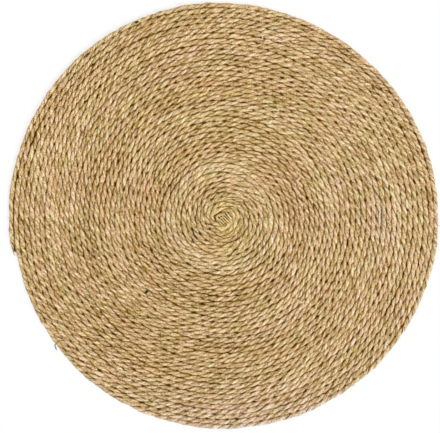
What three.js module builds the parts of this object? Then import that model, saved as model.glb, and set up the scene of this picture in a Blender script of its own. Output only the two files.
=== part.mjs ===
// A round table mat of grass cord: one twisted cord is wound outwards in a flat spiral,
// and each turn is sewn to the one inside it. The turns show as ridges on the top,
// the outermost one makes the rounded rim, and its cut end is a small step in the outline.
// Millimetres, +Z up. The mat lies on z = 0, with the middle of its box over the origin.

import * as THREE from 'three';

const MEAN_RADIUS = 190;
const THICKNESS = 5;
const TURNS = 41;
const GROOVE_DEPTH = 1.4;

// The cord's own middle starts half a pitch from the spiral's centre.
const START = 0.5;
const PITCH = MEAN_RADIUS / (TURNS + START);

// Seen from above, the cord is wound anticlockwise, and both its ends lie at this bearing.
const END_BEARING = THREE.MathUtils.degToRad(190);
// The cut end is squeezed to this share of the cord's width.
const END_WIDTH = 0.6;

// Facets: stations along each turn, and how many of the first turn's stations
// have the cord pressed right up to the centre.
const STATIONS = 40;
const PRESSED = 10;

// The hand-wound outline is slightly out of round. It has faint corners, one of them at
// CORNER_BEARING, and it reaches a little further from the spiral's centre on one side.
const CORNERS = 3;
const CORNER_REACH = 1;
const CORNER_BEARING = 0;
const ASIDE_REACH = 1.5;
const ASIDE_BEARING = THREE.MathUtils.degToRad(30);

// The outermost turn's outer side, from its shoulder down to the foot it rests on:
// out is in pitches from the cord's middle, and height is a share of the thickness.
const RIM = [
  { out: 0.5, height: 1 - GROOVE_DEPTH / THICKNESS },
  { out: 0.57, height: 0.5 },
  { out: 0.47, height: 0.18 },
  { out: 0.3, height: 0 },
];

const grass = new THREE.MeshStandardMaterial({ color: 0xba9c6e, roughness: 0.85, metalness: 0 });

function outOfRound(bearing) {
  const corners = CORNER_REACH * Math.cos(CORNERS * (bearing - CORNER_BEARING));
  const aside = ASIDE_REACH * Math.cos(bearing - ASIDE_BEARING);
  return 1 + (corners + aside) / MEAN_RADIUS;
}

// A point at a station along the winding, a number of pitches out from the centre.
function woundPoint(station, pitches, z) {
  const bearing = END_BEARING + (station / STATIONS) * 2 * Math.PI;
  const radius = PITCH * pitches * outOfRound(bearing);
  return [radius * Math.cos(bearing), radius * Math.sin(bearing), z];
}

// How many pitches the cord's middle lies from the centre.
function middleAt(station) {
  return START + station / STATIONS;
}

// Collects points and triangles, and leaves out a triangle that has no area.
class Skin {
  constructor() {
    this.positions = [];
    this.triangles = [];
  }

  point(xyz) {
    this.positions.push(...xyz);
    return this.positions.length / 3 - 1;
  }

  triangle(a, b, c) {
    if (a !== b && b !== c && c !== a) this.triangles.push(a, b, c);
  }

  quad(a, b, c, d) {
    this.triangle(a, b, c);
    this.triangle(a, c, d);
  }

  geometry() {
    const geometry = new THREE.BufferGeometry();
    geometry.setAttribute('position', new THREE.Float32BufferAttribute(this.positions, 3));
    geometry.setIndex(this.triangles);
    return geometry;
  }
}

function coiledMatGeometry() {
  const skin = new Skin();
  const last = TURNS * STATIONS;
  const grooveZ = THICKNESS - GROOVE_DEPTH;
  const topCentre = skin.point([0, 0, grooveZ]);
  const bottomCentre = skin.point([0, 0, 0]);

  // The ridge line along the top of the cord.
  const crest = [];
  for (let k = 0; k <= last; k += 1) {
    const squeeze = k === last ? (1 - END_WIDTH) / 2 : 0;
    crest.push(skin.point(woundPoint(k, middleAt(k) - squeeze, THICKNESS)));
  }

  // The groove on the inner side of the cord at each station. In the first turn
  // it opens out from the centre, and after that it runs on beside the turn before.
  const groove = [];
  for (let k = 0; k < last; k += 1) {
    const pressed = k < PRESSED;
    groove.push(pressed ? topCentre : skin.point(woundPoint(k, middleAt(k) - 0.5, grooveZ)));
  }

  // The outer side of the last turn, one line of points for each row of the rim table.
  const rimStart = last - STATIONS;
  const rim = RIM.map((row) => {
    const line = [];
    for (let k = rimStart; k <= last; k += 1) {
      const out = k === last ? -0.5 + (row.out + 0.5) * END_WIDTH : row.out;
      line.push(skin.point(woundPoint(k, middleAt(k) + out, row.height * THICKNESS)));
    }
    return line;
  });
  const [shoulder] = rim;
  const foot = rim[rim.length - 1];
  // At the cut end, the groove beside the cord is where that shoulder starts.
  groove.push(shoulder[0]);

  const outerSide = (k) => (k < rimStart ? groove[k + STATIONS] : shoulder[k - rimStart]);

  for (let k = 0; k < last; k += 1) {
    skin.quad(groove[k], crest[k], crest[k + 1], groove[k + 1]);
    skin.quad(crest[k], outerSide(k), outerSide(k + 1), crest[k + 1]);
  }

  // The top inside the first turn, and the cord's start, which is cut square.
  for (let k = PRESSED; k < STATIONS; k += 1) {
    skin.triangle(topCentre, groove[k], groove[k + 1]);
  }
  skin.triangle(topCentre, groove[STATIONS], crest[0]);

  // The rounded rim and the flat underside.
  for (let k = 0; k < STATIONS; k += 1) {
    for (let row = 0; row + 1 < rim.length; row += 1) {
      skin.quad(rim[row][k], rim[row + 1][k], rim[row + 1][k + 1], rim[row][k + 1]);
    }
    const outer = k + 1 === STATIONS ? foot[0] : foot[k + 1];
    skin.triangle(bottomCentre, outer, foot[k]);
  }
  skin.triangle(foot[0], foot[STATIONS], foot[STATIONS - 1]);

  // The cut end of the cord, a step from the last turn to the one inside it.
  skin.triangle(shoulder[0], crest[last], shoulder[STATIONS]);
  for (let row = 0; row + 1 < rim.length; row += 1) {
    skin.quad(rim[row][0], rim[row][STATIONS], rim[row + 1][STATIONS], rim[row + 1][0]);
  }

  const geometry = skin.geometry();
  geometry.computeBoundingBox();
  const middle = geometry.boundingBox.getCenter(new THREE.Vector3());
  geometry.translate(-middle.x, -middle.y, 0);
  geometry.computeVertexNormals();
  return geometry;
}

const coiledMat = new THREE.Mesh(coiledMatGeometry(), grass);
coiledMat.name = 'coiled_mat';

const mat = new THREE.Group();
mat.add(coiledMat);

export default mat;
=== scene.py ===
"""A round table mat of twisted grass cord, wound in a flat spiral and sewn turn to turn.

The cord is modelled strand by strand, in metres, +Z up. It follows the spiral of the CAD solid,
though its turns stray a little from it. A thin disc closes the gaps between the turns, and
loose blades and hairs lie on the cord and stick out of the rim."""

import math

import bpy
import numpy as np
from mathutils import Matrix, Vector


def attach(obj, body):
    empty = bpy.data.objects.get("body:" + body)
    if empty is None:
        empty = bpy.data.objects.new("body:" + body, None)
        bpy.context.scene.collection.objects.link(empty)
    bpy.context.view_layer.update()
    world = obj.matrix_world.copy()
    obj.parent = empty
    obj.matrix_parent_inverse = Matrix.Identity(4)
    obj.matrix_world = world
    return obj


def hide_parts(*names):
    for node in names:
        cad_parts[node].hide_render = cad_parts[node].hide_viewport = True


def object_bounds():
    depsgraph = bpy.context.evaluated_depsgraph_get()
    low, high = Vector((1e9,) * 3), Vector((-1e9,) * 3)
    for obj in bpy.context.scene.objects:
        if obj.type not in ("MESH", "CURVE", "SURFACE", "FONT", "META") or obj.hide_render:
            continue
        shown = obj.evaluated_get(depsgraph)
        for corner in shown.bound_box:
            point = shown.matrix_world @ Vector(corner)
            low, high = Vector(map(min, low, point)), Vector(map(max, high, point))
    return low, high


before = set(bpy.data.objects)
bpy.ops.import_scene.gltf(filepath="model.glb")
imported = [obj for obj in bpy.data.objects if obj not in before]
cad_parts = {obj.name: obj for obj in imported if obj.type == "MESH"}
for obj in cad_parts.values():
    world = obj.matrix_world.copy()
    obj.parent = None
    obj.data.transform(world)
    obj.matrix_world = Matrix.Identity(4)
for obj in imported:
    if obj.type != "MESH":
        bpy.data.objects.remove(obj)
cad_low, cad_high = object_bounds()

MM = 0.001
NODE = "coiled_mat"
SEED = 41
rng = np.random.default_rng(SEED)

# ---- the winding, as in the CAD solid ----
MEAN_RADIUS = 190 * MM
TURNS = 41
START = 0.5  # pitches from the spiral's centre to where the cord's middle starts
PITCH = MEAN_RADIUS / (TURNS + START)
THICKNESS = cad_high.z - cad_low.z
END_BEARING = math.radians(190)
RIM_OUT = 0.57  # pitches from the cord's middle to the rim
STEPS_A_TURN = 360
BOX_STEPS = 41  # points round the rim from which the box of its plan is taken
# The outline has faint corners, and reaches further from the spiral's centre on one side.
CORNERS = 3
CORNER_REACH = 1 * MM
CORNER_BEARING = 0.0
ASIDE_REACH = 1.5 * MM
ASIDE_BEARING = math.radians(30)

# ---- the cord ----
STRANDS = 2
LAY = 18.3 * MM  # length of one full twist, in the outer turns
TIGHTER = 0.2  # share by which the twist is shorter at the start
TIGHT_TURNS = 5  # turns in which most of that is lost
PRESSED = 10 * MM  # radius within which the cord is pressed flat
FILLED = 0.8 * MM  # how much shallower its notches are in the turns round the radius below
FILLED_AT = 43 * MM
FILLED_BY = 9 * MM
PRESSED_FILLED = 0.5  # share of that by which they are shallower where it is pressed flat
RIM_FILLED = 0.75 * MM  # how much shallower they are in the outermost turn
SPOT_SHADE = 0.4  # how much darker painted shade makes some spots in the gaps
SPOT_SHADE_AT = 15 * MM  # and more so in the turns round this radius
SPOT_SHADE_BY = 9 * MM
STEP = 1.12 * MM  # between the rings of a strand
CREST = 2.5 * MM  # from the cord's middle to the crest of a strand
NOTCH = 1.25 * MM  # and to the notch where the two strands meet
CREST_SHAPE = 0.8  # how full a strand is between its crest and the notch; less is fuller
FRONT = np.radians((-84, -58, -29, 0, 29, 58, 84))  # a strand's outer points, round the cord
BACK = np.array(((0.12, 1.0), (0.08, 0.0), (0.12, -1.0))) * MM  # where it meets the other one
BLADES = np.radians((-112, -75, -37, 0, 37, 75, 112, 145, 180, 215))  # bearings in the strand
AROUND = len(BLADES)
SQUEEZE = 1.03  # the turns press into each other, sideways
BLADE_TWIST = -1 / (60 * MM)  # turns of the blades round their strand, per metre
BLADES_APART = 2.1  # radians by which one strand's blades are turned against the other's
LOBES = 3  # bulges round a strand
LOBE = 0.04  # and how far they stand out, as a share of its size
PARTS = 10  # pieces that the cord is divided into
END_TAPER = 14 * MM
END_SIZE = 0.5  # share of its size that the cord keeps at its end
END_TUCK = 0.25  # pitches by which its end is drawn in
START_TAPER = 6 * MM
START_SIZE = 0.7
START_TUCK = 0.5  # turns by which the cord starts before its solid does
# What differs along the cord: a new value each so many metres, and the spread of the values.
ASIDE = (30 * MM, 0.2 * MM)
PRESSED_ASIDE = (9 * MM, 0.25 * MM)  # more of it, where the cord is pressed flat
OUTER_ASIDE = (7 * MM, 0.2 * MM)  # and in the outermost turn
RAISED = (25 * MM, 0.14 * MM)
LAY_STITCHES = (20 * MM, 0.1)
LAY_STRETCHES = (150 * MM, 0.04)
STRAND_TURNED = (22 * MM, 0.2)
STRAND_SIZE = (8 * MM, 0.05)
STRAND_WIDTH = (14 * MM, 0.08)
LOBES_TURNED = (70 * MM, 1.0)
# Painted shade in the gaps between the turns, and in dark spots among them:
GAP_SHADE_WANDER = (5 * MM, 0.58)
SPOT_SHADE_WANDER = (3 * MM, 1.0)
STITCH_TONE = (6 * MM, 0.045)  # near the rim
GRASS_EVERY = 70 * MM
GRASS_SPREAD = (0.25, 0.35, 0.35)  # of how pale, yellow and red the grass is
# In how many turns before the outermost one each of these sets in.
ASIDE_OVER = 0.2
FRAYED_OVER = 1.5
PRESSED_OVER = 0.1
RIM_OVER = 0.02
# Where the turns lie, in pitches, against an even spiral.
SET_OUT = 0.25  # all of them lie this much further out
START_OUT = 0.6  # and the innermost ones this much more
START_REACH = 6  # in about so many pitches from the centre
STEP_IN = 0.5  # how much further in each turn lies where it steps over the start of the first
STEP_TOWARDS = math.radians(240)
STEP_WIDE = math.radians(40)
SWAY_SEED = 7
SWAYS = 8  # waves in the spacing of the turns
SWAY = 0.05  # and how far each of them moves a turn
SWAY_CRESTS = 4  # each has fewer crests than this in a turn
SWAY_WAVES_OUT = (0.7, 3.2)  # and so many waves from the middle to the rim
OFF_CENTRE = 0.3  # pitches by which the inner turns lie to one side
OFF_TOWARDS = math.radians(10)
OFF_REACH = 7  # pitches
RIM_REACH = 0.3  # from the middle of the outer turn to the roots of the hairs, in pitches
RIM_PRESSED = 0.34  # how much narrower the outermost turn is on its outer side
STAGGER = 5  # rings by which one strand ends before the other
HEART = 1.2 * MM  # from the cord's middle to that of a strand
FACES_BY = 0.4 * MM  # from its strand's middle, up or down, where a point faces up or down
# Painted shade: how much darker the grass is where it stands out less, down in the gaps and
# hollows, and a slight painted highlight where it stands out most.
PROUD = (-0.35, -0.15, 0.04, 0.22, 1.0)
RELIEF_SHADE = (-1.1, -0.86, -0.44, 0.0, 0.08)
GAPS_BELOW = 0.2  # how far a point stands out from which on the painted shade of the gaps does not darken it
GAP_SHADE = 0.68  # how dark the painted shade in the gaps is, as a share of what the relief gives
GAP_SHADE_MOST = 1.7
SPOT_FROM = 0.9  # a spot of painted shade shows where its random value is over this
SPOT_SHADE_MOST = 1.2
FAINTER = 0.6  # share by which the painted shade in the gaps is fainter near the rim
NEAR_RIM = (0.55 * TURNS, 0.85 * TURNS)  # turns in which that sets in
RING_DARKER = 0.35  # share by which that painted shade is darker in the turns round FILLED_AT
PRESSED_FAINTER = 0.3  # and less dark where the cord is pressed flat
PALER = 0.06  # what a unit of pale in BUNDLES adds to the tone
RIM_SIDE_SHADE = 0.84  # how much less the outermost turn's side counts as standing out, so that painted shade darkens it
CREASE_SHADE = -0.2  # painted shade: how much darker the grass is the nearer it lies to the cord's middle line, as in the notch between its strands
PRESSED_CREASE = 0.8  # share of that which is lost where the cord is pressed flat
RIM_SHADE_TINT = np.array((-0.1, -0.02, 0.16))  # share added to the red, green and blue of the rim's outer side, a painted cool grey shade
RIM_SHADE_SHAPE = 0.6  # how evenly it spreads over the rim's side; less is more evenly
REDDER = np.array((0.02, -0.025, 0.0))  # and that for each unit of red in BUNDLES
YELLOWER = np.array((0.0, 0.0, -0.11))  # or of yellow
GRAIN_APART = 100  # metres between the strands in their material's noise
LEAST_HEIGHT = 0.05 * MM

# ---- the disc between the turns ----
# How far in from the outer turn's middle its rim lies, in pitches, and its rings from the
# centre out, each with its share of the reach and half its thickness.
SEWN_IN = 0.1
SEWN_RINGS = (
    (0.02, 0.25 * MM),
    (0.3, 0.25 * MM),
    (0.6, 0.25 * MM),
    (0.8, 0.25 * MM),
    (1, 0.2 * MM),
)

# ---- the map of a strand's surface ----
# Room left free round a strand's faces and its ends in the flat map of its surface.
MAP_SIDE = 0.01
MAP_ROW = 0.06
MAP_END = 0.4  # radius of an end there, in rows

# ---- the spiral's middle ----
# Short ends of grass that close it.
MIDDLE_BLADES = 6
MIDDLE_REACH = 3.5 * MM
MIDDLE_LONG = (3, 6)  # millimetres, from and to
MIDDLE_WIDE = (0.5, 0.8)
MIDDLE_THICK = 0.3 * MM
MIDDLE_SUNK = 0.6  # millimetres, at most
MIDDLE_DROP = 4 * MM  # four times as far as their ends hang
MIDDLE_STEPS = 9
MIDDLE_TONE = (0.4, 0.7)
# The cord's untwisted start, tucked into it: blades side by side.
FOLD_BLADES = 7
FOLD_SPACING = 2.05 * MM
FOLD_REACH = 6.5 * MM  # from their middle, to the side and to a blade's end
FOLD_AT = np.array((3.2, 0.0)) * MM  # from the spiral's centre
FOLD_TOWARDS = math.radians(-46)
FOLD_BENT = 0.1  # radians
FOLD_STEPS = 13  # rings of a blade
FOLD_LONG = (0.8, 1)  # share of the room for it that a blade takes up
FOLD_THICK = (0.95, 1.2)  # how thick it is, against the spacing
FOLD_TAPER = 0.5  # share by which it is thinner at its ends
FOLD_DROP = 2.2 * MM  # how far its ends hang
FOLD_SUNK = 0.6  # how far its middle lies below the crests, in half thicknesses
FOLD_SIDES = (-1, 0, 0.5, 0.85, 1)  # how far up its side, and the painted shade and light there: darker below, a little paler on top
FOLD_SHADE = (-1.2, -1.1, -0.7, 0, 0.15)

# ---- the grass ----

ALL_ROUND = math.radians(1000)
# Stretches of grass from other bundles, placed after the patches of colour in the photo:
# radius, bearing, reach outwards and round, and how much paler, yellower and redder they are.
BUNDLES = (
    (0 * MM, 0, 24 * MM, ALL_ROUND, 0.5, 0.8, 0.0),
    (16 * MM, math.radians(90), 7 * MM, math.radians(30), -0.2, 0.8, 0.4),
    (16 * MM, math.radians(280), 8 * MM, math.radians(45), 0.5, 1.0, 0.0),
    (19 * MM, 0, 8 * MM, ALL_ROUND, -0.9, 0.0, 0.0),
    (41 * MM, 0, 9 * MM, ALL_ROUND, -0.1, -0.2, -0.35),
    (77 * MM, 0, 8 * MM, ALL_ROUND, -0.35, 0.0, 0.0),
    (96 * MM, 0, 10 * MM, ALL_ROUND, 0.5, 0.0, 0.0),
    (97 * MM, math.radians(310), 10 * MM, math.radians(50), 0.8, 0.0, 0.0),
    (40 * MM, math.radians(70), 9 * MM, math.radians(75), 1.3, 0.0, 0.0),
    (36 * MM, math.radians(240), 6 * MM, math.radians(50), 0.6, 0.0, 0.0),
    (33 * MM, math.radians(320), 6 * MM, math.radians(30), 0.4, 0.0, 0.0),
    (58 * MM, math.radians(320), 6 * MM, math.radians(30), 0.9, 0.0, 0.0),
    (45 * MM, math.radians(100), 5 * MM, math.radians(12), 0.0, 0.0, -0.8),
    (52 * MM, math.radians(75), 4 * MM, math.radians(7), 0.0, 0.0, -0.8),
    (36 * MM, math.radians(158), 4 * MM, math.radians(12), 0.0, -0.3, -0.7),
    (31 * MM, math.radians(215), 4 * MM, math.radians(18), 0.0, -0.4, -0.8),
    (47 * MM, math.radians(180), 6 * MM, math.radians(15), 0.0, -0.3, -0.6),
    (43 * MM, math.radians(300), 6 * MM, math.radians(14), 0.0, -0.4, -0.9),
    (60 * MM, math.radians(30), 8 * MM, math.radians(50), -0.5, 0.0, 0.2),
    (62 * MM, math.radians(140), 10 * MM, math.radians(45), -1.2, 0.2, 0.1),
    (73 * MM, math.radians(255), 10 * MM, math.radians(50), -0.9, 0.0, 0.1),
    (80 * MM, math.radians(200), 8 * MM, math.radians(40), -0.5, 0.3, 0.1),
    (80 * MM, math.radians(325), 9 * MM, math.radians(35), 0.7, 0.0, 0.2),
    (70 * MM, math.radians(45), 14 * MM, math.radians(60), 0.0, 0.5, 0.2),
    (71 * MM, math.radians(20), 10 * MM, math.radians(20), 0.0, 0.0, 0.5),
    (122 * MM, math.radians(90), 12 * MM, math.radians(30), 0.0, 0.4, 0.1),
    (69 * MM, math.radians(157), 8 * MM, math.radians(10), 0.0, 0.0, 0.6),
    (102 * MM, math.radians(20), 16 * MM, math.radians(45), 0.8, 0.0, 0.0),
    (118 * MM, math.radians(235), 14 * MM, math.radians(55), -1.2, 0.0, 0.0),
    (118 * MM, math.radians(120), 14 * MM, math.radians(55), -0.7, 0.2, 0.1),
    (128 * MM, math.radians(95), 10 * MM, math.radians(9), 0.2, 0.4, 0.7),
    (142 * MM, math.radians(0), 14 * MM, math.radians(12), 0.3, -0.8, -0.3),
    (158 * MM, math.radians(5), 25 * MM, math.radians(60), 1.0, 0.0, 0.0),
    (165 * MM, math.radians(140), 18 * MM, math.radians(35), 0.5, 0.0, 0.0),
    (165 * MM, math.radians(215), 15 * MM, math.radians(25), -0.4, 0.0, 0.0),
    (176 * MM, math.radians(272), 24 * MM, math.radians(38), 0.4, -1.9, -0.5),
    (178 * MM, math.radians(110), 10 * MM, math.radians(50), -0.9, 0.1, 0.1),
)


# ---- numbers ----


def smooth(value, low, high):
    """0 up to low and 1 from high on, with a soft rise between them."""
    part = np.clip((value - low) / (high - low), 0, 1)
    return part * part * (3 - 2 * part)


def wander(along, every, amount):
    """A smooth random number along the cord, with a new value each so many metres."""
    at = along / every
    low = np.floor(at).astype(int)
    knots = rng.normal(0, amount, low.max() + 2)
    part = smooth(at - low, 0, 1)
    return knots[low] * (1 - part) + knots[low + 1] * part


def in_outer_turn(turns, over):
    """1 in the outermost turn, to which it rises from 0 in so many turns before it."""
    return smooth(turns, TURNS - 1 - over, TURNS - 1)


def out_of_round(bearing):
    """How much further out than in a round mat a bearing's points lie, as a factor."""
    corners = CORNER_REACH * np.cos(CORNERS * (bearing - CORNER_BEARING))
    aside = ASIDE_REACH * np.cos(bearing - ASIDE_BEARING)
    return 1 + (corners + aside) / MEAN_RADIUS


def wound(turns, pitches):
    """Points of the plan from the spiral's centre: after so many turns, so many pitches out."""
    bearing = END_BEARING + 2 * math.pi * turns
    radius = PITCH * pitches * out_of_round(bearing)
    return np.stack([radius * np.cos(bearing), radius * np.sin(bearing)], axis=-1)


def draw_sways():
    """Seeded waves of the spacing: crests in a turn, waves outwards, and the phase of each."""
    draws = np.random.default_rng(SWAY_SEED)
    crests = draws.integers(0, SWAY_CRESTS, SWAYS)
    waves = draws.uniform(*SWAY_WAVES_OUT, SWAYS)
    phases = draws.uniform(0, 2 * math.pi, (SWAYS, 2))
    return [(*both, *phase) for both, phase in zip(zip(crests, waves), phases)]


SWAY_WAVES = draw_sways()


def sway(turns, pitches):
    """How far out the turns lie from an even spiral, in pitches."""
    bearing = END_BEARING + 2 * math.pi * turns
    aside = (bearing - STEP_TOWARDS + math.pi) % (2 * math.pi) - math.pi
    moved = SET_OUT + START_OUT * np.exp(-((pitches / START_REACH) ** 2))
    moved -= STEP_IN * np.exp(-((aside / STEP_WIDE) ** 2))
    moved += OFF_CENTRE * np.exp(-((pitches / OFF_REACH) ** 2)) * np.cos(bearing - OFF_TOWARDS)
    for crests, waves, first, second in SWAY_WAVES:
        outwards = np.cos(2 * math.pi * waves * pitches / TURNS + second)
        moved += SWAY * np.cos(crests * bearing + first) * outwards
    return moved


def spiral_centre():
    """Where the spiral's centre lies, with the middle of the mat's box at the origin."""
    turns = np.linspace(TURNS - 1, TURNS, BOX_STEPS)
    rim = wound(turns, START + turns + RIM_OUT)
    return -(rim.min(0) + rim.max(0)) / 2


CENTRE = spiral_centre()


# ---- meshes ----


class Shell:
    """Closed tubes gathered into one mesh, with what their material reads at each point."""

    def __init__(self):
        self.points, self.corners, self.sizes, self.flat, self.uv = [], [], [], [], []
        self.values = {}
        self.count = 0

    def tube(self, points, values, side_uv=None, cap_uv=None):
        """Adds a tube from points, rings x around x 3, and closes both its ends."""
        rings, around = points.shape[:2]
        row = np.arange(rings - 1)[:, None] * around
        here = np.arange(around)[None, :]
        beside = (here + 1) % around
        quads = [row + here, row + beside, row + around + beside, row + around + here]
        quads = np.stack(quads, axis=2).reshape(-1) + self.count
        first = np.arange(around)[::-1] + self.count
        last = np.arange(around) + (rings - 1) * around + self.count
        self.corners += [quads, first, last]
        self.sizes += [np.full((rings - 1) * around, 4), [around, around]]
        self.flat += [np.zeros((rings - 1) * around, bool), [True, True]]
        self.points.append(points.reshape(-1, 3))
        self.count += rings * around
        for name, value in values.items():
            self.values.setdefault(name, []).append(value.reshape(rings * around, -1))
        if side_uv is not None:
            self.uv += [side_uv.reshape(-1, 2), cap_uv.reshape(-1, 2)]

    def build(self, name, material):
        """Makes one piece of the scene from all the tubes."""
        mesh = bpy.data.meshes.new(name)
        points = np.concatenate(self.points)
        corners = np.concatenate(self.corners)
        sizes = np.concatenate(self.sizes)
        mesh.vertices.add(len(points))
        mesh.vertices.foreach_set("co", points.astype(np.float32).ravel())
        mesh.loops.add(len(corners))
        mesh.loops.foreach_set("vertex_index", corners.astype(np.int32))
        mesh.polygons.add(len(sizes))
        mesh.polygons.foreach_set("loop_start", (np.cumsum(sizes) - sizes).astype(np.int32))
        mesh.polygons.foreach_set("use_smooth", ~np.concatenate(self.flat))
        mesh.update(calc_edges=True)
        for key, value in self.values.items():
            value = np.concatenate(value).astype(np.float32)
            if value.shape[1] == 1:
                layer = mesh.attributes.new(key, "FLOAT", "POINT")
                layer.data.foreach_set("value", value.ravel())
            else:
                layer = mesh.attributes.new(key, "FLOAT_VECTOR", "POINT")
                layer.data.foreach_set("vector", value.ravel())
        if self.uv:
            layer = mesh.uv_layers.new(name="OFBake")
            layer.data.foreach_set("uv", np.concatenate(self.uv).astype(np.float32).ravel())
        mesh.materials.append(material)
        piece = bpy.data.objects.new(name, mesh)
        bpy.context.scene.collection.objects.link(piece)
        return piece


# ---- the cord ----


class Cord:
    """The cord's middle line, at even steps of its length."""

    def __init__(self):
        turns = np.linspace(-START_TUCK, TURNS, TURNS * STEPS_A_TURN + 1)
        plan = wound(turns, START + turns)
        gone = np.cumsum(np.linalg.norm(np.diff(plan, axis=0), axis=1))
        gone = np.concatenate([[0], gone])
        self.length = gone[-1]
        self.along = np.linspace(0, self.length, round(self.length / STEP) + 1)
        self.turns = np.interp(self.along, gone, turns)
        out = START + self.turns
        plan = wound(self.turns, out + sway(self.turns, out))
        heading = np.gradient(plan, axis=0)
        heading /= np.linalg.norm(heading, axis=1)[:, None]
        self.outward = np.stack([heading[:, 1], -heading[:, 0]], axis=1)
        left = self.length - self.along
        tapered = smooth(left, 0, END_TAPER)
        started = smooth(self.along, 0, START_TAPER)
        self.full = np.minimum(
            END_SIZE + (1 - END_SIZE) * tapered,
            START_SIZE + (1 - START_SIZE) * started,
        )
        shift = wander(self.along, *ASIDE) - (1 - tapered) * END_TUCK * PITCH
        self.pressed = np.exp(-((PITCH * out / PRESSED) ** 2))
        self.ringed = np.exp(-(((PITCH * out - FILLED_AT) / FILLED_BY) ** 2))
        self.spot_shaded = np.exp(-(((PITCH * out - SPOT_SHADE_AT) / SPOT_SHADE_BY) ** 2))
        shift += wander(self.along, *PRESSED_ASIDE) * self.pressed
        shift += wander(self.along, *OUTER_ASIDE) * in_outer_turn(self.turns, ASIDE_OVER)
        self.plan = CENTRE + plan + self.outward * shift[:, None]
        self.height = THICKNESS / 2 + wander(self.along, *RAISED)
        lay = LAY * (1 - TIGHTER * np.exp(-self.turns / TIGHT_TURNS))
        lay *= 1 + wander(self.along, *LAY_STITCHES) + wander(self.along, *LAY_STRETCHES)
        self.twist = np.cumsum(2 * math.pi * (self.along[1] - self.along[0]) / lay)
        self.pale, yellow, red = bundle_looks(self)
        self.tint = 1 + np.outer(red, REDDER) + np.outer(yellow, YELLOWER)


def bundle_looks(cord):
    """How much paler, yellower and redder the grass is along the cord."""
    x, y = (cord.plan - CENTRE).T
    radius, bearing = np.hypot(x, y), np.arctan2(y, x)
    looks = np.stack([wander(cord.along, GRASS_EVERY, spread) for spread in GRASS_SPREAD])
    for at, towards, reach_out, reach_round, *strengths in BUNDLES:
        turned = (bearing - towards + math.pi) % (2 * math.pi) - math.pi
        share = np.exp(-(((radius - at) / reach_out) ** 2) - (turned / reach_round) ** 2)
        looks += np.outer(strengths, share)
    return looks


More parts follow.
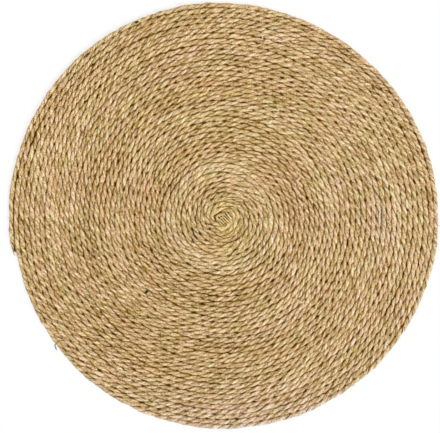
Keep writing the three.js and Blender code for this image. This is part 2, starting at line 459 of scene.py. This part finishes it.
class Strand:
    """One strand's surface: rings x around points, and what the material reads there."""

    def __init__(self, cord, number):
        angle = cord.twist + 2 * math.pi * number / STRANDS + wander(cord.along, *STRAND_TURNED)
        self.cos, self.sin = np.cos(angle)[:, None], np.sin(angle)[:, None]
        blade = BLADES + 2 * math.pi * BLADE_TWIST * cord.along[:, None] + number * BLADES_APART
        outermost = in_outer_turn(cord.turns, PRESSED_OVER)[:, None]
        out, up = self.section(cord, blade, outermost)
        pressed = out - RIM_PRESSED * outermost * np.maximum(out, 0)
        self.points = self.placed(cord, pressed, up)
        self.middle = self.placed(cord, self.cos * NOTCH / 2, self.sin * NOTCH / 2)
        rim = in_outer_turn(cord.turns, RIM_OVER)[:, None] * (out > 0)
        reached = np.hypot(out, up) / CREST
        sideways = np.clip(out / CREST, 0, 1)
        # How far each point stands out, which sets its painted shade; the outermost turn's outer
        # side counts by how far it reaches out, less a share, so it is shaded a little.
        proud = self.proud(up, reached - RIM_SIDE_SHADE * sideways**2, rim)
        # A painted cool grey shade on the rim's outer side.
        rim_shade = rim * sideways**RIM_SHADE_SHAPE
        place = np.broadcast_to(cord.along[:, None] + number * GRAIN_APART, blade.shape)
        self.values = {
            "tone": self.tone(cord, proud, reached),
            "tint": cord.tint[:, None, :] * (1 + rim_shade[..., None] * RIM_SHADE_TINT),
            "grain": np.stack([np.cos(blade), np.sin(blade), place], axis=2),
        }

    def section(self, cord, blade, outermost):
        """How far out from the cord's middle line and how far up each point lies."""
        frayed = in_outer_turn(cord.turns, FRAYED_OVER)
        size = cord.full * (1 + wander(cord.along, *STRAND_SIZE) * (1 + frayed))
        wide = size * (1 + wander(cord.along, *STRAND_WIDTH))
        lobes = 1 + LOBE * np.cos(LOBES * blade + wander(cord.along, *LOBES_TURNED)[:, None])
        filled = FILLED * (PRESSED_FILLED * cord.pressed + cord.ringed)
        notch = NOTCH + filled[:, None] + RIM_FILLED * outermost
        reach = notch + (CREST - notch) * np.cos(FRONT) ** CREST_SHAPE
        back = np.broadcast_to(BACK.T[:, None, :], (2, len(cord.along), len(BACK)))
        away = np.concatenate([reach * np.cos(FRONT), back[0]], axis=1) * size[:, None] * lobes
        side = np.concatenate([reach * np.sin(FRONT), back[1]], axis=1) * wide[:, None] * lobes
        out = (away * self.cos - side * self.sin) * SQUEEZE
        up = away * self.sin + side * self.cos
        return out, up

    def proud(self, up, outside, rim):
        """How far a point stands out on the side of the mat that it faces, from -1 to 1."""
        facing = np.tanh((up - self.sin * HEART) / FACES_BY)
        proud = up * facing / CREST
        return proud + rim * (np.maximum(proud, outside) - proud)

    def tone(self, cord, proud, reached):
        """How much paler or darker than plain grass each point is: painted shade in the gaps,
        spots and notches, a slight painted highlight on the crests, and the grass's own tone.
        """
        # Painted shade in the gaps between the turns and in dark spots there.
        gap_shade = np.clip(GAP_SHADE + wander(cord.along, *GAP_SHADE_WANDER), 0, GAP_SHADE_MOST)
        spots = np.clip(wander(cord.along, *SPOT_SHADE_WANDER) - SPOT_FROM, 0, SPOT_SHADE_MOST)
        near_rim = smooth(cord.turns, *NEAR_RIM)
        gap_shade *= 1 - FAINTER * near_rim + RING_DARKER * cord.ringed
        stitches = wander(cord.along, *STITCH_TONE) * near_rim
        gap_shade *= 1 - PRESSED_FAINTER * cord.pressed
        gap_shade = (gap_shade + spots * (SPOT_SHADE + cord.spot_shaded))[:, None]
        # Painted shade from how far each point stands out, deepest in the gaps between the turns.
        tone = np.interp(proud, PROUD, RELIEF_SHADE) * np.where(proud < GAPS_BELOW, gap_shade, 1)
        # Painted shade deep in the cord, near its middle line.
        crease_shade = CREASE_SHADE * (1 - PRESSED_CREASE * cord.pressed)[:, None]
        tone += crease_shade * np.clip(1 - reached, 0, 1)
        return tone + (PALER * cord.pale + stitches)[:, None]

    def placed(self, cord, out, up):
        """Points in the scene, from how far out and up they lie from the cord's middle line."""
        points = np.empty((*out.shape, 3))
        points[..., :2] = cord.plan[:, None, :] + cord.outward[:, None, :] * out[..., None]
        points[..., 2] = np.maximum(cord.height[:, None] + up, LEAST_HEIGHT)
        return points


def strip_uv(rings, number, rows_each, rows):
    """A strand's faces laid out in rows of one square map, and its two ends in the last row."""
    per_row = math.ceil((rings - 1) / rows_each)
    step = np.arange(rings - 1)
    row = number * rows_each + step // per_row
    across, up = 1 - 2 * MAP_SIDE, 1 - 2 * MAP_ROW
    left = MAP_SIDE + across * (step % per_row) / per_row
    right = left + across / per_row
    j = np.arange(AROUND)
    low = (row[:, None] + MAP_ROW + up * j / AROUND) / rows
    high = low + up / AROUND / rows
    left = np.broadcast_to(left[:, None], low.shape)
    right = np.broadcast_to(right[:, None], low.shape)
    corners = [(left, low), (left, high), (right, high), (right, low)]
    side = np.stack([np.stack(c, axis=2) for c in corners], axis=2)
    angle = 2 * math.pi * j / AROUND
    circle = np.stack([np.cos(angle), np.sin(angle)], axis=1) * MAP_END
    ends = [circle + (1 + 2 * number + end, rows - 0.5) for end in (0, 1)]
    return side, np.stack(ends) / rows


def build_cord(cord, strands, material):
    """The cord's strands, divided along its length into pieces."""
    pieces = []
    edges = np.linspace(0, len(cord.along) - 1, PARTS + 1).astype(int)
    girth = (math.pi + 2) * (CREST + NOTCH) / 2  # of a half circle with its flat side
    for part in range(PARTS):
        shell = Shell()
        for number, strand in enumerate(strands):
            first, last = edges[part], edges[part + 1] + 1
            if part == PARTS - 1:
                last -= number * STAGGER
            length = (last - first) * STEP * STRANDS
            rows_each = round(math.sqrt(length / girth) / STRANDS)
            side, caps = strip_uv(last - first, number, rows_each, STRANDS * rows_each + 1)
            values = {key: value[first:last] for key, value in strand.values.items()}
            shell.tube(strand.points[first:last], values, side, caps)
        pieces.append(shell.build(f"cord_turns_{part + 1:02d}", material))
    return pieces


def build_start(cord, material):
    """The cord's untwisted start: blades side by side in the spiral's middle."""
    shell = Shell()
    share = np.linspace(-1, 1, FOLD_STEPS)[:, None]
    angle = 2 * math.pi * np.arange(AROUND) / AROUND
    side = np.array([-math.sin(FOLD_TOWARDS), math.cos(FOLD_TOWARDS)])
    for number in range(FOLD_BLADES):
        towards = FOLD_TOWARDS + rng.uniform(-FOLD_BENT, FOLD_BENT)
        heading = np.array([math.cos(towards), math.sin(towards)])
        beside = (number - (FOLD_BLADES - 1) / 2) * FOLD_SPACING
        reach = math.sqrt(FOLD_REACH**2 - beside**2) * rng.uniform(*FOLD_LONG)
        thick = FOLD_SPACING / 2 * rng.uniform(*FOLD_THICK) * (1 - FOLD_TAPER * share**4)
        points = np.empty((len(share), AROUND, 3))
        middle = CENTRE + FOLD_AT + side * beside + heading * reach * share
        points[..., :2] = middle[:, None, :] + side * (thick * np.cos(angle))[..., None]
        points[..., 2] = THICKNESS / 2 + CREST - FOLD_DROP * share**2
        points[..., 2] += thick * (np.sin(angle) - FOLD_SUNK)
        # Painted shade on the blade's underside and painted light on its top.
        fold_shade = np.interp(np.sin(angle), FOLD_SIDES, FOLD_SHADE)
        place = np.broadcast_to(reach * share, points.shape[:2])
        grain = [np.broadcast_to(wave(angle), place.shape) for wave in (np.cos, np.sin)]
        values = {
            "tone": np.broadcast_to(fold_shade, place.shape),
            "tint": np.broadcast_to(cord.tint[0], points.shape),
            "grain": np.stack([*grain, place + number], axis=2),
        }
        shell.tube(points, values, *strip_uv(len(share), number, 1, 2 * FOLD_BLADES + 2))
    return shell.build("cord_start", material)


def build_middle(material):
    """The thin disc that the turns' squashed sides make where they're sewn together, coloured as
    the painted deep shade between the turns.
    """
    turns = np.linspace(TURNS - 1, TURNS, STEPS_A_TURN + 1)[:-1]
    shell = Shell()
    rim = wound(turns, START + turns - SEWN_IN)
    rings = [*SEWN_RINGS, *((share, -up) for share, up in reversed(SEWN_RINGS))]
    points = np.empty((len(rings), STEPS_A_TURN, 3))
    for ring, (share, up) in zip(points, rings):
        ring[:, :2] = CENTRE + rim * share
        ring[:, 2] = THICKNESS / 2 + up
    shell.tube(points[::-1], {})
    return shell.build("sewn_middle_in_shade", material)


# ---- loose blades and hairs ----

BLADE_ENDS = 5  # a blade's first and last fifth are tapered
BLADE_TIP = 0.15  # share of its width at its tip
# Blades lifted off the strands: some over the whole mat, and more in its outer part.
LIFTED = 260
LIFTED_OUTER = 320
OUTER_FROM = 0.8  # share of the cord's rings
OUTER_BENT = 1.2 * MM
LIFTED_CLEAR = 60  # rings at both ends of the cord without any
LIFTED_RINGS = (4, 8)  # a blade is so many rings long, and less than the second number
LIFTED_HIGH = (0.05, 0.5)  # millimetres
LIFTED_WIDE = (0.35, 0.8)
LIFTED_TONE = (0.5, 1)
LIFTED_THICK = 0.12 * MM
LIFTED_OFF = 0.06 * MM  # gap to the strand, where a blade starts
HAIRS = 80
HAIR_LONG = (0.6, 2.2)  # millimetres
HAIR_ROOT = 0.8 * MM  # and so much more, inside the cord
HAIR_HIGH = (1.0, 4.2)  # millimetres over the table
HAIR_TURNED = 1.1  # radians from straight out
HAIR_RISE = (-0.2, 0.35)  # how steeply it rises
HAIR_CURVED = 0.35  # how far to the side its tip lies at most, as a share of its length
HAIR_WIDE = (0.1, 0.25)  # millimetres
HAIR_THICK = 0.1 * MM
HAIR_TONE = (0.1, 1)
HAIR_STEPS = 9
LOOSE_THICK = 0.15 * MM
LOOSE_STEPS = 6  # points for each of a blade's places
# Loose blades, placed after those that stand out in the photo: tone, width, height over
# the table, and places in the plan from the spiral's centre, in millimetres.
LOOSE = (
    (0.95, 1.2, 5.5, ((33.6, 164.7), (35.5, 163.3), (36.2, 159.6))),
    (0.90, 2.0, 5.4, ((37.9, 158.8), (43.3, 159.1))),
    (0.95, 1.0, 5.5, ((47.2, 156.2), (50.7, 153.1))),
    (0.90, 0.9, 5.4, ((45.8, 154.7), (49.4, 151.7))),
    (0.90, 1.8, 5.5, ((65.7, 33.4), (68.1, 35.2), (69.9, 37.4))),
    (0.80, 1.6, 5.4, ((66.8, 31.2), (67.6, 33.8))),
    (0.95, 1.2, 5.5, ((65.0, -70.7), (70.7, -74.8), (73.9, -72.1))),
    (0.90, 1.2, 5.5, ((3.7, -138.5), (3.7, -146.8))),
    (0.95, 1.0, 5.4, ((-2.9, -145.1), (2.5, -145.4))),
    (0.95, 2.8, 5.4, ((164.1, 17.8), (164.5, 13.4), (165.4, 8.9))),
    (0.85, 2.4, 5.4, ((-158.2, 22.2), (-158.2, 14.2))),
    (0.29, 1.2, 5.5, ((142.7, 14.2), (143.0, 4.4), (142.8, -4.4), (142.9, -12.5))),
    (0.85, 2.0, 5.4, ((140.3, 7.1), (139.9, -6.2))),
    (0.00, 1.0, 5.4, ((-26.2, -9.5), (-25.0, -14.4), (-21.2, -19.4))),
    (0.00, 0.6, 5.3, ((6.0, -20.8), (11.0, -19.3), (14.7, -18.0), (17.0, -15.6))),
    (0.00, 2.2, 5.4, ((-68.6, -66.0), (-65.6, -63.6))),
    (0.00, 1.8, 4.9, ((-77.2, 174.4), (-74.0, 176.1))),
    (0.00, 1.4, 4.9, ((-93.4, 165.5), (-90.5, 168.0))),
    (0.05, 0.9, 4.4, ((-123.3, 143.7), (-121.0, 146.4), (-117.5, 147.7))),
    (0.05, 1.0, 4.4, ((-133.1, 134.2), (-132.0, 136.6), (-129.6, 138.4))),
    (0.14, 1.1, 3.0, ((-145.6, 115.6), (-147.3, 119.3), (-149.0, 121.6))),
    (0.25, 0.9, 4.4, ((-143.3, 120.2), (-139.7, 126.4))),
    (0.14, 0.9, 1.5, ((-147.2, -110.6), (-149.2, -112.6), (-147.4, -117.9))),
    (0.20, 0.9, 2.0, ((116.9, -146.0), (117.5, -149.0))),
)


def ribbon(shell, path, across, width, thick, tone):
    """Adds a thin blade along path, tapered at its ends."""
    count = len(path)
    along = np.linspace(0, 1, count)
    full = np.clip(np.minimum(along, 1 - along) * BLADE_ENDS, BLADE_TIP, 1)[:, None]
    heading = np.gradient(path, axis=0)
    across = across - heading * (
        (across * heading).sum(1) / (heading * heading).sum(1)
    )[:, None]
    across /= np.linalg.norm(across, axis=1)[:, None]
    normal = np.cross(heading, across)
    normal /= np.linalg.norm(normal, axis=1)[:, None]
    half, deep = across * width / 2 * full, normal * thick / 2 * full
    points = np.stack([path + half, path + deep, path - half, path - deep], axis=1)
    points[..., 2] = np.maximum(points[..., 2], LEAST_HEIGHT)
    steps = np.linalg.norm(heading, axis=1)
    place = np.broadcast_to(np.cumsum(steps)[:, None], (count, 4))
    shell.tube(points, {"tone": np.full((count, 4), tone), "place": place + tone})


def lifted_blade(shell, strand, ring, rings, lift, width, tone, bend):
    """A blade that lies on a strand from one of its rings, and lifts off towards its end."""
    j = int(np.argmax(strand.points[ring + rings // 2, :, 2]))
    span = slice(ring, ring + rings)
    base = strand.points[span, j]
    out = base - strand.middle[span, 0]
    out /= np.linalg.norm(out, axis=1)[:, None]
    across = strand.points[span, (j + 1) % AROUND] - strand.points[span, j - 1]
    share = np.linspace(0, 1, rings)[:, None]
    path = base + out * (LIFTED_OFF + lift * share**2)
    path = path + across / np.linalg.norm(across, axis=1)[:, None] * bend * share**2
    fine = np.linspace(0, rings - 1, rings * 2)
    path = np.stack([np.interp(fine, np.arange(rings), path[:, k]) for k in range(3)], axis=1)
    across = np.stack([np.interp(fine, np.arange(rings), across[:, k]) for k in range(3)], axis=1)
    ribbon(shell, path, across, width, LIFTED_THICK, tone)


def loose_blade(shell, tone, width, height, places):
    """A blade through places in the plan, in millimetres from the spiral's centre."""
    places = np.array(places) * MM
    fine = np.linspace(0, len(places) - 1, LOOSE_STEPS * len(places))
    path = np.empty((len(fine), 3))
    for k in range(2):
        path[:, k] = CENTRE[k] + np.interp(fine, np.arange(len(places)), places[:, k])
    path[:, 2] = height
    heading = path[-1] - path[0]
    across = np.broadcast_to([-heading[1], heading[0], 0.0], path.shape)
    ribbon(shell, path, across, width, LOOSE_THICK, tone)


def lift_blades(shell, strands, first, last, blades, bent):
    """Lifts so many short blades off the strands, between two of their rings."""
    for _ in range(blades):
        strand = strands[rng.integers(STRANDS)]
        ring = int(rng.integers(first, last))
        rings = int(rng.integers(*LIFTED_RINGS))
        lift = rng.uniform(*LIFTED_HIGH) * MM
        width = rng.uniform(*LIFTED_WIDE) * MM
        tone = rng.uniform(*LIFTED_TONE)
        bend = rng.uniform(-bent, bent)
        lifted_blade(shell, strand, ring, rings, lift, width, tone, bend)


def middle_blade(shell, top):
    """One of the short ends of grass that close the spiral's middle."""
    turned, towards = rng.uniform(0, 2 * math.pi, 2)
    at = rng.uniform(0, MIDDLE_REACH)
    heading = np.array([math.cos(towards), math.sin(towards), 0.0])
    middle = np.array([at * math.cos(turned), at * math.sin(turned), 0.0])
    middle[:2] += CENTRE
    share = np.linspace(-0.5, 0.5, MIDDLE_STEPS)[:, None]
    path = middle + heading * share * rng.uniform(*MIDDLE_LONG) * MM
    path[:, 2] = top - rng.uniform(0, MIDDLE_SUNK) * MM - MIDDLE_DROP * share[:, 0] ** 2
    across = np.broadcast_to([-heading[1], heading[0], 0.0], path.shape)
    width = rng.uniform(*MIDDLE_WIDE) * MM
    ribbon(shell, path, across, width, MIDDLE_THICK, rng.uniform(*MIDDLE_TONE))


def build_blades(cord, strands, material):
    """The loose blades on the top: lifted off the strands, placed, and in the middle."""
    shell = Shell()
    last = len(cord.along) - LIFTED_CLEAR
    lift_blades(shell, strands, LIFTED_CLEAR, last, LIFTED, 0)
    lift_blades(shell, strands, round(OUTER_FROM * last), last, LIFTED_OUTER, OUTER_BENT)
    for tone, width, height, places in LOOSE:
        loose_blade(shell, tone, width * MM, height * MM, places)
    for _ in range(MIDDLE_BLADES):
        middle_blade(shell, cord.height[0] + CREST)
    return shell.build("lifted_blades", material)


def rim_point(bearing, height):
    """Where a hair stands out of the outermost turn."""
    turns = np.array([TURNS - 1 + ((bearing - END_BEARING) / (2 * math.pi)) % 1])
    pitches = START + turns
    flat = CENTRE + wound(turns, pitches + sway(turns, pitches) + RIM_REACH)[0]
    return np.array([flat[0], flat[1], height])


def build_hairs(material):
    """Short fibres that stick out of the rim."""
    shell = Shell()
    share = np.linspace(0, 1, HAIR_STEPS)[:, None]
    for _ in range(HAIRS):
        bearing = rng.uniform(0, 2 * math.pi)
        reach = rng.uniform(*HAIR_LONG) * MM + HAIR_ROOT
        start = rim_point(bearing, rng.uniform(*HAIR_HIGH) * MM)
        turned = bearing + rng.uniform(-HAIR_TURNED, HAIR_TURNED)
        heading = np.array([math.cos(turned), math.sin(turned), rng.uniform(*HAIR_RISE)])
        side = np.array([-math.sin(turned), math.cos(turned), 0.0])
        curved = rng.uniform(-HAIR_CURVED, HAIR_CURVED)
        path = start + heading * reach * share + side * curved * reach * share**2
        across = np.broadcast_to([0.0, 0.0, 1.0], path.shape)
        width = rng.uniform(*HAIR_WIDE) * MM
        ribbon(shell, path, across, width, HAIR_THICK, rng.uniform(*HAIR_TONE))
    return shell.build("rim_hairs", material)


# ---- materials ----


class Nodes:
    """A short way to write the nodes of a material or a world."""

    def __init__(self, owner):
        self.owner = owner
        owner.use_nodes = True
        self.tree = owner.node_tree
        self.tree.nodes.clear()

    def put(self, socket, value):
        """Links an input to another node's output, or sets its value."""
        if isinstance(value, bpy.types.NodeSocket):
            self.tree.links.new(value, socket)
        else:
            socket.default_value = value

    def new(self, kind, inputs=(), **settings):
        node = self.tree.nodes.new("ShaderNode" + kind)
        for key, value in settings.items():
            setattr(node, key, value)
        for key, value in dict(inputs).items():
            self.put(node.inputs[key], value)
        return node

    def math(self, operation, *values, clamp=False):
        node = self.new("Math", operation=operation, use_clamp=clamp)
        for socket, value in zip(node.inputs, values):
            self.put(socket, value)
        return node.outputs[0]

    def scaled(self, vector, by):
        node = self.new("VectorMath", operation="MULTIPLY")
        self.put(node.inputs[0], vector)
        self.put(node.inputs[1], by)
        return node.outputs[0]

    def mix(self, share, a, b, blend="MIX"):
        """Two colours mixed; the numbers are the Mix node's own sockets for colours."""
        node = self.new("Mix", data_type="RGBA", blend_type=blend)
        for key, value in ((0, share), (6, a), (7, b)):
            self.put(node.inputs[key], value)
        return node.outputs[2]

    def ramp(self, value, stops):
        """The colour at a value from 0 to 1, between stops of a place and a colour."""
        node = self.new("ValToRGB", {"Fac": value})
        elements = node.color_ramp.elements
        while len(elements) < len(stops):
            elements.new(1.0)
        for element, (at, colour) in zip(elements, stops):
            element.position = at
            element.color = colour
        return node.outputs["Color"]

    def noise(self, vector, scale, detail=2.0):
        node = self.new("TexNoise", {"Vector": vector, "Scale": scale, "Detail": detail})
        return node.outputs["Fac"]

    def ranged(self, value, low, high):
        """A value from 0 to 1 spread from low to high."""
        return self.new(
            "MapRange", {"Value": value, "To Min": low, "To Max": high}
        ).outputs["Result"]

    def attribute(self, name, output):
        return self.new("Attribute", attribute_name=name).outputs[output]

    def seen(self):
        """1 where the camera sees the surface, itself or by reflection or through glass."""
        path = self.new("LightPath")
        seen = path.outputs["Is Camera Ray"]
        for kind in ("Is Glossy Ray", "Is Transmission Ray"):
            seen = self.math("MAXIMUM", seen, path.outputs[kind])
        return seen

    def finish(self, shader, kind="OutputMaterial"):
        self.new(kind, {"Surface": shader.outputs[0]})
        return self.owner


def material_nodes(name):
    return Nodes(bpy.data.materials.new(name))


BLACK = (0.0, 0.0, 0.0, 1.0)
WHITE = (1.0, 1.0, 1.0, 1.0)


def linear(red, green, blue):
    """A colour written as on a screen, from 0 to 255, as the nodes need it."""
    return tuple(
        c / 12.92 if c <= 0.04045 else ((c + 0.055) / 1.055) ** 2.4
        for c in (red / 255, green / 255, blue / 255)
    ) + (1.0,)


# The grass's colour by tone; its darkest, most saturated stops serve mostly the painted shade in
# the deepest gaps, and some darker blades.
GRASS = (
    (0.0, linear(76, 46, 0)),
    (0.12, linear(128, 92, 16)),
    (0.25, linear(163, 128, 55)),
    (0.4, linear(190, 157, 101)),
    (0.6, linear(217, 186, 135)),
    (0.8, linear(244, 213, 164)),
    (1.0, linear(255, 241, 206)),
)


# Redder and greener patches that run across the turns.
PATCHES = (
    (0.3, (1.01, 0.97, 1.01, 1.0)),
    (0.5, (1.0, 0.98, 0.99, 1.0)),
    (0.7, (0.97, 0.99, 0.93, 1.0)),
)


# The blades' cells and the streaks in them: how fine they are round a strand, and how long.
CELLS_ROUND = 1.2
CELL_LONG = 22 * MM
STREAKS_ROUND = 1.5
STREAK_LONG = 8 * MM
STREAK_DETAIL = 4.0
SPECKS = 900.0  # a metre
PATCH_SCALE = 75.0
# What each of them adds to the tone, at least and at most.
CELL_TONES = (0.43, 0.81)
STREAK_TONES = (-0.5, 0.5)
SPECK_TONES = (-0.5, 0.5)
SPLIT_SHADE = (-0.12, 0.0)  # painted shade in the gap between two blades
SPLIT_WIDE = 0.1
CORD_ROUGH = (0.55, 0.85)
CORD_GLOSS = 0.08
CORD_BUMP = 0.35
CORD_BUMP_HIGH = 0.4 * MM
STREAK_BUMP = 0.5


def cord_material():
    n = material_nodes("twisted_grass")
    grain = n.attribute("grain", "Vector")
    blades = n.scaled(grain, (CELLS_ROUND, CELLS_ROUND, 1 / CELL_LONG))
    cell = n.new("TexVoronoi", {"Vector": blades, "Scale": 1.0})
    edge = n.new("TexVoronoi", {"Vector": blades, "Scale": 1.0}, feature="DISTANCE_TO_EDGE")
    blade = n.new("SeparateColor", {"Color": cell.outputs["Color"]}).outputs["Red"]
    stretched = n.scaled(grain, (STREAKS_ROUND, STREAKS_ROUND, 1 / STREAK_LONG))
    streaks = n.noise(stretched, 1.0, STREAK_DETAIL)
    specks = n.noise(n.new("TexCoord").outputs["Object"], SPECKS, 0.0)
    # The tone brings the painted shade and highlight set on the strands; the blades' own tone is
    # added to it.
    tone = n.math("ADD", n.attribute("tone", "Fac"), n.ranged(blade, *CELL_TONES))
    tone = n.math("ADD", tone, n.ranged(streaks, *STREAK_TONES))
    tone = n.math("ADD", tone, n.ranged(specks, *SPECK_TONES))
    # Painted shade in the splits between the blades.
    split_shade = n.ramp(edge.outputs["Distance"], ((0.0, BLACK), (SPLIT_WIDE, WHITE)))
    tone = n.math("ADD", tone, n.ranged(split_shade, *SPLIT_SHADE), clamp=True)
    colour = n.mix(1.0, n.ramp(tone, GRASS), n.attribute("tint", "Vector"), "MULTIPLY")
    patches = n.noise(n.new("TexCoord").outputs["Object"], PATCH_SCALE, 0.0)
    colour = n.mix(1.0, colour, n.ramp(patches, PATCHES), "MULTIPLY")
    rough = n.ranged(streaks, *CORD_ROUGH)
    height = n.math("MULTIPLY_ADD", streaks, STREAK_BUMP, edge.outputs["Distance"])
    bump = n.new("Bump", {"Height": height, "Strength": CORD_BUMP, "Distance": CORD_BUMP_HIGH})
    shader = n.new("BsdfPrincipled", {"Base Color": colour, "Roughness": rough})
    n.put(shader.inputs["Specular IOR Level"], CORD_GLOSS)
    n.put(shader.inputs["Normal"], bump.outputs["Normal"])
    return n.finish(shader)


FIBRES = (
    (0.0, linear(48, 32, 8)),
    (0.12, linear(96, 68, 28)),
    (0.22, linear(176, 156, 134)),
    (0.32, linear(190, 166, 136)),
    (0.45, linear(204, 168, 112)),
    (0.7, linear(228, 198, 150)),
    (1.0, linear(252, 229, 190)),
)


FIBRE_SPOTS = 400.0  # a metre
FIBRE_DETAIL = 3.0
FIBRE_TONES = (-0.15, 0.15)
FIBRE_ROUGH = (0.45, 0.8)
FIBRE_GLOSS = 0.15


def fibre_material():
    n = material_nodes("loose_grass")
    tone = n.attribute("tone", "Fac")
    place = n.attribute("place", "Fac")
    line = n.new("CombineXYZ", {"X": place})
    spots = n.noise(line.outputs[0], FIBRE_SPOTS, FIBRE_DETAIL)
    shift = n.math("ADD", tone, n.ranged(spots, *FIBRE_TONES), clamp=True)
    rough = n.ranged(spots, *FIBRE_ROUGH)
    shader = n.new("BsdfPrincipled", {"Base Color": n.ramp(shift, FIBRES), "Roughness": rough})
    n.put(shader.inputs["Specular IOR Level"], FIBRE_GLOSS)
    return n.finish(shader)


# Between the turns: deep shade with paler spots.
SEWN_SHADE = (
    (0.37, linear(80, 46, 0)),
    (0.49, linear(114, 76, 8)),
    (0.57, linear(172, 131, 52)),
)


SEWN_SPOTS = 250.0  # a metre
SEWN_DETAIL = 3.0
SEWN_ROUGH = (0.7, 0.95)
SEWN_GLOSS = 0.05
SEWN_BUMP = 0.5
SEWN_BUMP_HIGH = 0.3 * MM


def middle_material():
    n = material_nodes("shaded_sewn_grass")
    spots = n.noise(n.new("TexCoord").outputs["Object"], SEWN_SPOTS, SEWN_DETAIL)
    # Painted deep shade between the turns, with paler spots.
    colour = n.ramp(spots, SEWN_SHADE)
    bump = n.new("Bump", {"Height": spots, "Strength": SEWN_BUMP, "Distance": SEWN_BUMP_HIGH})
    rough = n.ranged(spots, *SEWN_ROUGH)
    shader = n.new("BsdfPrincipled", {"Base Color": colour, "Roughness": rough})
    n.put(shader.inputs["Specular IOR Level"], SEWN_GLOSS)
    n.put(shader.inputs["Normal"], bump.outputs["Normal"])
    return n.finish(shader)


# ---- the stage ----

SKY = 0.66
SUN = 1.5
SUN_ANGLE = math.radians(30)  # how wide the sun looks, which softens its shadows
SUN_TILT = math.radians(42)
SUN_TOWARDS = math.radians(45)
FLOOR_WHITE = 0.75  # share of the seen floor that is plain white; the rest shows the shadow
FLOOR_SIZE = 12
FRAME_WIDTH = 391.6 * MM
CAMERA_ASIDE = np.array((-1.8, 2.2)) * MM  # from the spiral's centre
CAMERA_HEIGHT = 1.3
SENSOR = 36.0


def build_world():
    n = Nodes(bpy.data.worlds.new("studio"))
    strength = n.ranged(n.seen(), SKY, 1.0)
    return n.finish(n.new("Background", {"Color": WHITE, "Strength": strength}), "OutputWorld")


def build_sun():
    sun = bpy.data.objects.new("sun", bpy.data.lights.new("sun", "SUN"))
    sun.data.energy = SUN
    sun.data.angle = SUN_ANGLE
    sun.rotation_euler = (SUN_TILT, 0, SUN_TOWARDS)
    bpy.context.scene.collection.objects.link(sun)


def build_floor():
    bpy.ops.mesh.primitive_plane_add(size=FLOOR_SIZE)
    floor = bpy.context.object
    floor.name = "floor"
    n = material_nodes("white_floor")
    both = n.new("MixShader", {"Fac": n.math("MULTIPLY", n.seen(), FLOOR_WHITE)})
    n.put(both.inputs[1], n.new("BsdfDiffuse", {"Color": WHITE}).outputs[0])
    n.put(both.inputs[2], n.new("Emission", {"Color": WHITE, "Strength": 1.0}).outputs[0])
    floor.data.materials.append(n.finish(both))


def build_camera():
    camera = bpy.data.objects.new("camera", bpy.data.cameras.new("camera"))
    camera.data.sensor_width = SENSOR
    camera.data.lens = SENSOR * CAMERA_HEIGHT / FRAME_WIDTH
    camera.location = (*(CENTRE + CAMERA_ASIDE), THICKNESS + CAMERA_HEIGHT)
    bpy.context.scene.collection.objects.link(camera)
    return camera


def build_stage():
    scene = bpy.context.scene
    scene.view_settings.view_transform = "Standard"
    scene.world = build_world()
    build_sun()
    build_floor()
    scene.camera = build_camera()


# ---- the mat ----

build_stage()
cord = Cord()
strands = [Strand(cord, number) for number in range(STRANDS)]
grass = cord_material()
loose = fibre_material()
cord_pieces = [build_start(cord, grass), *build_cord(cord, strands, grass)]
middle = build_middle(middle_material())
extras = [build_blades(cord, strands, loose), build_hairs(loose)]
for piece in [middle, *cord_pieces, *extras]:
    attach(piece, "root")
for piece in [middle, *cord_pieces]:
    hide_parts(NODE)
